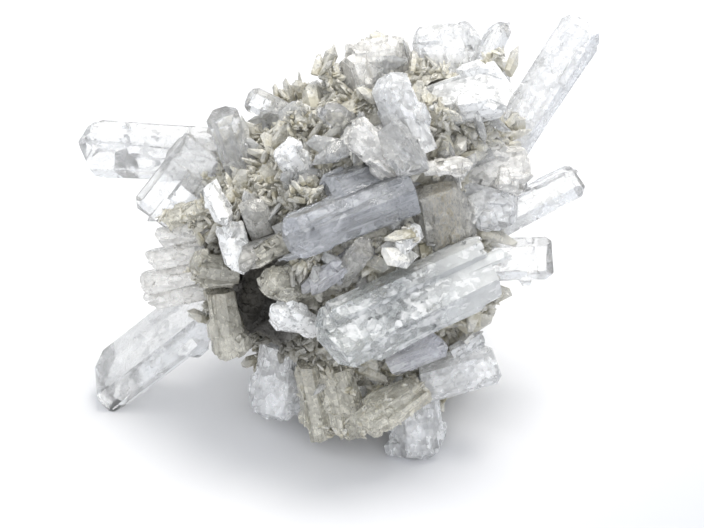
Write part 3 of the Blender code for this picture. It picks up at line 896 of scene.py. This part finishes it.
class Shader:
    """A material or a world, with short calls that add nodes to it."""

    def __init__(self, name, world=False):
        self.owner = bpy.data.worlds.new(name) if world else bpy.data.materials.new(name)
        self.owner.use_nodes = True
        self.tree = self.owner.node_tree
        self.surface = self.tree.nodes["Background" if world else "Principled BSDF"]

    def add(self, kind, inputs=None, **settings):
        node = self.tree.nodes.new(kind)
        for name, value in settings.items():
            setattr(node, name, value)
        for socket, value in (inputs or {}).items():
            self.put(node.inputs[socket], value)
        return node

    def put(self, socket, value):
        if isinstance(value, bpy.types.NodeSocket):
            self.tree.links.new(value, socket)
        else:
            socket.default_value = value

    def set(self, **values):
        """Sets or links the surface's sockets, named with underscores for spaces."""
        for name, value in values.items():
            self.put(self.surface.inputs[name.replace("_", " ")], value)

    def value(self, name):
        return self.add("ShaderNodeAttribute", attribute_name=name).outputs["Fac"]

    def vector(self, name):
        return self.add("ShaderNodeAttribute", attribute_name=name).outputs["Vector"]

    def place(self):
        """Position in the object, in millimetres."""
        where = self.add("ShaderNodeTexCoord").outputs["Object"]
        return self.stretch(where, (1000, 1000, 1000))

    def stretch(self, vector, scale):
        return self.add("ShaderNodeMapping", {"Vector": vector, "Scale": scale}).outputs[0]

    def noise(self, vector, scale, detail=3.0, roughness=0.5, distortion=0.0):
        inputs = {"Vector": vector, "Scale": scale, "Detail": detail, "Roughness": roughness}
        inputs["Distortion"] = distortion
        return self.add("ShaderNodeTexNoise", inputs).outputs["Fac"]

    def vectors(self, operation, a, b, output=0):
        return self.add("ShaderNodeVectorMath", {0: a, 1: b}, operation=operation).outputs[output]

    def wobble(self, vector, scale, amount):
        """The vector, shifted about by noise, so that straight borders turn irregular."""
        noise = self.add("ShaderNodeTexNoise", {"Vector": vector, "Scale": scale, "Detail": 3.0})
        shift = self.vectors("SUBTRACT", noise.outputs["Color"], (0.5, 0.5, 0.5))
        return self.vectors("ADD", vector, self.vectors("MULTIPLY", shift, (amount, amount, amount)))

    def facets(self, vector, size):
        """Tilted planes, one in each cell of that size: a height across the cell, and the cell's value."""
        scaled = self.stretch(vector, tuple(1 / s for s in size))
        cell = self.add("ShaderNodeTexVoronoi", {"Vector": scaled, "Scale": 1.0})
        offset = self.vectors("SUBTRACT", scaled, cell.outputs["Position"])
        way = self.vectors("SUBTRACT", cell.outputs["Color"], (0.5, 0.5, 0.5))
        tilt = self.vectors("DOT_PRODUCT", offset, way, "Value")
        value = self.add("ShaderNodeSeparateColor", {0: cell.outputs["Color"]}).outputs[0]
        return tilt, value

    def hairlines(self, vector, size, width):
        """Thin lines between cells of that size: 1 on the line."""
        scaled = self.stretch(vector, tuple(1 / s for s in size))
        inputs = {"Vector": scaled, "Scale": 1.0}
        cell = self.add("ShaderNodeTexVoronoi", inputs, feature="DISTANCE_TO_EDGE")
        return self.fit(cell.outputs[0], 0, width, 1, 0)

    def fit(self, value, low, high, to_low=0.0, to_high=1.0):
        inputs = {0: value, 1: low, 2: high, 3: to_low, 4: to_high}
        return self.add("ShaderNodeMapRange", inputs, clamp=True).outputs[0]

    def math(self, operation, a, b=0.0):
        return self.add("ShaderNodeMath", {0: a, 1: b}, operation=operation).outputs[0]

    def plus(self, a, b):
        return self.math("ADD", a, b)

    def times(self, a, b):
        return self.math("MULTIPLY", a, b)

    def most(self, a, b):
        return self.math("MAXIMUM", a, b)

    def mix(self, share, a, b):
        a, b = (value if isinstance(value, bpy.types.NodeSocket) else (*value, 1) for value in (a, b))
        return self.add("ShaderNodeMix", {0: share, 6: a, 7: b}, data_type="RGBA").outputs[2]

    def bump(self, height, strength, distance):
        inputs = {"Height": height, "Strength": strength, "Distance": distance}
        self.set(Normal=self.add("ShaderNodeBump", inputs).outputs[0])


_materials = {}


def once(build):
    """Keeps what a material function builds, so that each material is made once."""

    def kept(*args):
        key = (build.__name__, *args)
        if key not in _materials:
            _materials[key] = build(*args)
        return _materials[key]

    return kept


def milkiness(shader, look, share, growth, facets):
    """How milky each place in a crystal is, and how striped."""
    coarse, shade, middling, other = facets
    # Milky where a fracture feathers out: sharp at one border of its cell, faint at the other.
    feather = shader.plus(coarse, shader.times(middling, 0.8))
    feather = shader.plus(feather, shader.fit(shade, 0, 1, -0.08, 0.08))
    feather = shader.plus(feather, shader.fit(other, 0, 1, -0.05, 0.05))
    feather = shader.times(feather, FEATHER.get(look, 0.8))
    haze = shader.noise(shader.stretch(growth, (1, 1, 0.5)), 0.28, 5, 0.62, 0.6)
    feather = shader.plus(feather, shader.fit(haze, 0.3, 0.7, -0.22, 0.22))
    milky = shader.fit(feather, 0.20 - share * 0.7, 0.60 - share * 0.7)
    stripes = shader.noise(shader.stretch(growth, (1, 1, 0.05)), 1.6, 3, 0.55)
    stripes = shader.times(shader.fit(stripes, 0.5, 0.68), STRIPES.get(look, 0.0))
    milky = shader.most(milky, stripes)
    if look in CLEAN_END:
        milky = shader.most(milky, shader.fit(shader.value("reach"), *CLEAN_END[look], 0, 0.65))
    return milky, stripes


def inner_cracks(shader, look, growth, bent, size):
    """Fine lines where a crystal is cracked inside, in patches."""
    broad = shader.hairlines(bent, (1.3 * size, 1.3 * size, 1.9 * size), 0.02)
    narrow = shader.hairlines(bent, (0.5 * size, 0.5 * size, 0.8 * size), 0.035)
    lines = shader.most(broad, shader.times(narrow, 0.7))
    where = shader.fit(shader.noise(growth, 0.22, 3, 0.6), 0.46, 0.56)
    return shader.times(shader.times(lines, where), CRACKED.get(look, 0.2))


def soiling(shader, look, soil, growth, bent, grain, lines):
    """How dark each place is: sediment round the root, a brown core, specks and cracks."""
    dust = shader.noise(growth, 0.9, 5, 0.7)
    rooted = shader.fit(shader.value("reach"), 0.02, 0.55, 1, 0)
    grime = shader.times(rooted, shader.fit(dust, 0.38, 0.62))
    grime = shader.times(grime, soil)
    if look in CORES:
        core = shader.math("ABSOLUTE", shader.add("ShaderNodeSeparateXYZ", {0: bent}).outputs[0])
        fibres = shader.noise(shader.stretch(growth, (1, 1, 0.3)), 1.5, 5, 0.75, 0.5)
        fibres = shader.fit(fibres, 0.40, 0.60, 0.1, 1)
        core = shader.times(shader.fit(core, *CORES[look], 1, 0), fibres)
        grime = shader.most(grime, core)
    specks = shader.times(shader.fit(grain, 0.56, 0.63), SPECKS.get(look, 0.12))
    specks = shader.times(specks, shader.fit(shader.noise(growth, 0.14, 3, 0.6), 0.38, 0.52))
    marks = shader.most(specks, lines)
    if look in CLEAN_END:
        marks = shader.times(marks, shader.fit(shader.value("reach"), *CLEAN_END[look], 1, 0.2))
    grime = shader.most(grime, marks)
    return shader.most(grime, shader.times(lines, 0.35))


@once
def selenite(look):
    """Gypsum, partly clear and partly milky, with a surface broken into facets."""
    tint, milk, share, *through_range, rough_clear, rough_milky, soil, slope, size = SELENITE[look]
    shader = Shader(f"selenite_{look}")
    growth = shader.vector("growth")
    bent = shader.wobble(shader.wobble(growth, 0.3, 2.4), 1.3, 0.7)
    coarse, shade = shader.facets(bent, (size, size, 1.4 * size))
    middling, other = shader.facets(bent, (0.45 * size, 0.45 * size, 0.6 * size))
    grain = shader.noise(growth, 2.4, 6, 0.8)
    milky, stripes = milkiness(shader, look, share, growth, (coarse, shade, middling, other))
    lines = inner_cracks(shader, look, growth, bent, size)
    grime = soiling(shader, look, soil, growth, bent, grain, lines)
    # Painted shade for crystals deep in the cleft: the colour goes towards near black and less light
    # passes through.
    dark = shader.times(shader.value("dark"), 0.35)
    colour = shader.mix(grime, shader.mix(milky, tint, milk), SPECK_TONE.get(look, SEDIMENT))
    shader.set(Base_Color=shader.mix(dark, colour, (0.10, 0.095, 0.08)))
    through = shader.fit(milky, 0, 1, *through_range)
    through = shader.times(through, shader.fit(dark, 0, 1, 1, 0.3))
    shader.set(Transmission_Weight=shader.times(through, shader.fit(grime, 0, 1, 1, 0.1)))
    rough = shader.fit(milky, 0, 1, rough_clear, rough_milky)
    rough = shader.most(rough, shader.times(grime, 0.6))
    shader.set(Roughness=rough, IOR=SELENITE_IOR)
    height = shader.times(coarse, 2.2 * size)
    height = shader.plus(height, shader.times(middling, 1.1 * size))
    height = shader.plus(height, shader.times(stripes, 0.12))
    height = shader.plus(height, shader.times(grain, 0.2))
    height = shader.math("SUBTRACT", height, shader.times(lines, 0.3))
    shader.bump(shader.times(height, slope), 1.0, MM)
    return shader.owner


@once
def veil_material():
    """Thin cloudy sheets, in patches."""
    shader = Shader("veil")
    place = shader.place()
    tilt, value = shader.facets(shader.wobble(place, 0.6, 1.5), (3, 3, 3))
    patch = shader.fit(shader.plus(tilt, shader.fit(value, 0, 1, -0.3, 0.3)), 0.0, 0.3)
    shader.set(Base_Color=(0.97, 0.97, 0.965, 1), Roughness=0.3)
    shader.set(Alpha=shader.times(patch, 0.35))
    shader.bump(tilt, 0.5, 0.5 * MM)
    return shader.owner


@once
def rock_material():
    """Pale earthy gypsum, browner and darker in its hollows with sediment and painted shade, and near
    black painted shade in the cleft.
    """
    shader = Shader("matrix_rock")
    place = shader.place()
    patches = shader.noise(place, 0.12, 6, 0.65, 0.4)
    specks = shader.noise(place, 1.1, 5, 0.7)
    # Painted shade, partly real sediment: the deeper a place lies in a hollow, the more it takes the dark
    # brown soil colour.
    high = shader.fit(shader.value("height"), -0.8, 1.2)
    paler = shader.mix(specks, (0.80, 0.785, 0.73), (0.60, 0.58, 0.51))
    soil = shader.mix(patches, (0.24, 0.22, 0.17), (0.42, 0.395, 0.32))
    soil_and_shade = shader.mix(high, soil, paler)
    # Painted shade in the cleft: near black towards its middle.
    shader.set(Base_Color=shader.mix(shader.value("dark"), soil_and_shade, CLEFT_SHADE_TONE))
    shader.set(Roughness=shader.fit(specks, 0.3, 0.7, 0.45, 0.85))
    tilt, _ = shader.facets(place, (1.6, 1.6, 1.6))
    shader.bump(shader.plus(specks, shader.times(tilt, 4)), 0.8, 0.3 * MM)
    return shader.owner


def small_crystal(name, dark_tone, brown_tone, pale_low, pale_high, clearness, slope, bare):
    """Small crystals: pale and translucent at the tip, darker round the root with sediment and painted
    shade, less of it the barer they are, and near black painted shade in the cleft."""
    shader = Shader(name)
    growth = shader.vector("growth")
    dust = shader.noise(growth, 0.8, 5, 0.7)
    region = shader.noise(growth, 0.06, 3, 0.5)
    shade = shader.value("shade")
    tilt, value = shader.facets(growth, (1.8, 1.8, 1.8))
    fine, _ = shader.facets(growth, (0.7, 0.7, 0.7))
    pale = shader.mix(shade, pale_low, pale_high)
    brown = shader.mix(region, dark_tone, brown_tone)
    brown = shader.mix(shader.fit(shade, 0.45, 1.0, 0, 0.75), brown, pale_low)
    # Darker and rougher round the root: sediment, and painted shade where the crystals crowd.
    paler = shader.plus(shader.value("reach"), shader.fit(dust, 0.3, 0.7, -0.35, 0.35))
    paler = shader.plus(paler, shader.fit(value, 0, 1, -0.15, 0.15))
    paler = shader.fit(paler, 0.14 - bare, 0.84 - bare)
    colour = shader.mix(paler, brown, pale)
    # Painted shade in the cleft: near black, and less light passes through.
    shader.set(Base_Color=shader.mix(shader.value("dark"), colour, (0.07, 0.066, 0.056)))
    through = shader.fit(paler, 0.3, 1, 0, clearness)
    through = shader.times(through, shader.fit(shade, 0, 1, 0.4, 1))
    through = shader.times(through, shader.fit(shader.value("dark"), 0, 1, 1, 0.2))
    shader.set(Transmission_Weight=through, IOR=SELENITE_IOR)
    shader.set(Roughness=shader.fit(paler, 0, 1, 0.6, 0.13))
    height = shader.plus(shader.times(tilt, 3.6), shader.times(fine, 1.4))
    shader.bump(shader.times(height, slope), 1.0, MM)
    return shader.owner


@once
def crust_material():
    browns = (0.20, 0.18, 0.12), (0.47, 0.435, 0.325)
    return small_crystal("crust", *browns, (0.79, 0.76, 0.655), (0.965, 0.95, 0.90), 0.66, 0.2, 0)


@once
def shard_material():
    browns = (0.50, 0.48, 0.42), (0.74, 0.72, 0.67)
    return small_crystal("shard", *browns, (0.84, 0.83, 0.79), (0.96, 0.965, 0.965), 0.85, 0.24, 0.3)


@once
def floor_material():
    """Plain and pale, with painted shade: darker and bluer towards the front right."""
    shader = Shader("floor")
    place = shader.add("ShaderNodeTexCoord").outputs["Object"]
    split = shader.add("ShaderNodeSeparateXYZ", {0: place})
    side = shader.math("SUBTRACT", split.outputs[0], split.outputs[1])
    # Painted shade: the floor colour falls from pale grey to a darker blue grey towards the front right.
    painted_falloff = shader.fit(side, 0.03, 0.25)
    shader.set(Base_Color=shader.mix(painted_falloff, (0.74, 0.74, 0.75), (0.42, 0.435, 0.485)), Roughness=0.55)
    shader.set(Specular_IOR_Level=0.3)
    return shader.owner


# ---------------- studio


def add_floor():
    bm = bmesh.new()
    bmesh.ops.create_circle(bm, cap_ends=True, segments=96, radius=3)
    mesh = bpy.data.meshes.new("floor")
    bm.to_mesh(mesh)
    bm.free()
    floor = bpy.data.objects.new("floor", mesh)
    bpy.context.scene.collection.objects.link(floor)
    mesh.materials.append(floor_material())


def add_world():
    """Soft daylight: brightest overhead, fading and cooler towards the ground."""
    shader = Shader("studio", world=True)
    bpy.context.scene.world = shader.owner
    where = shader.add("ShaderNodeTexCoord").outputs["Generated"]
    up = shader.vectors("DOT_PRODUCT", where, SKY_TOP.normalized(), "Value")
    ramp = shader.add("ShaderNodeValToRGB", {0: shader.fit(up, -1, 1)})
    elements = ramp.color_ramp.elements
    for element, (position, colour) in zip(elements, (SKY[0], SKY[-1])):
        element.position = position
        element.color = (*colour, 1)
    for position, colour in SKY[1:-1]:
        elements.new(position).color = (*colour, 1)
    shader.set(Color=ramp.outputs[0], Strength=SKY_STRENGTH)


def add_light(name, place, size, power, colour):
    light = bpy.data.lights.new(name, "AREA")
    light.shape = "DISK"
    light.size = size
    light.energy = power
    light.color = colour
    obj = bpy.data.objects.new(name, light)
    obj.location = place
    obj.rotation_euler = (Vector(MIDDLE) - Vector(place)).to_track_quat("-Z", "Y").to_euler()
    bpy.context.scene.collection.objects.link(obj)


def add_camera():
    camera = bpy.data.cameras.new("camera")
    camera.lens = LENS
    camera.sensor_width = SENSOR
    camera.clip_start = 0.01
    obj = bpy.data.objects.new("camera", camera)
    look = Vector((0, math.cos(VIEW_ELEVATION), -math.sin(VIEW_ELEVATION)))
    obj.location = VIEW_TARGET - look * VIEW_DISTANCE
    obj.rotation_euler = (math.pi / 2 - VIEW_ELEVATION, 0, 0)
    bpy.context.scene.collection.objects.link(obj)
    bpy.context.scene.camera = obj


def light_studio():
    add_floor()
    add_world()
    for name, place, size, power, colour in LIGHTS:
        add_light(name, place, size, power, colour)
    bpy.context.scene.view_settings.view_transform = "Standard"


build_rock()
grow_shards(build_crystals())
grow_crust()
light_studio()
add_camera()
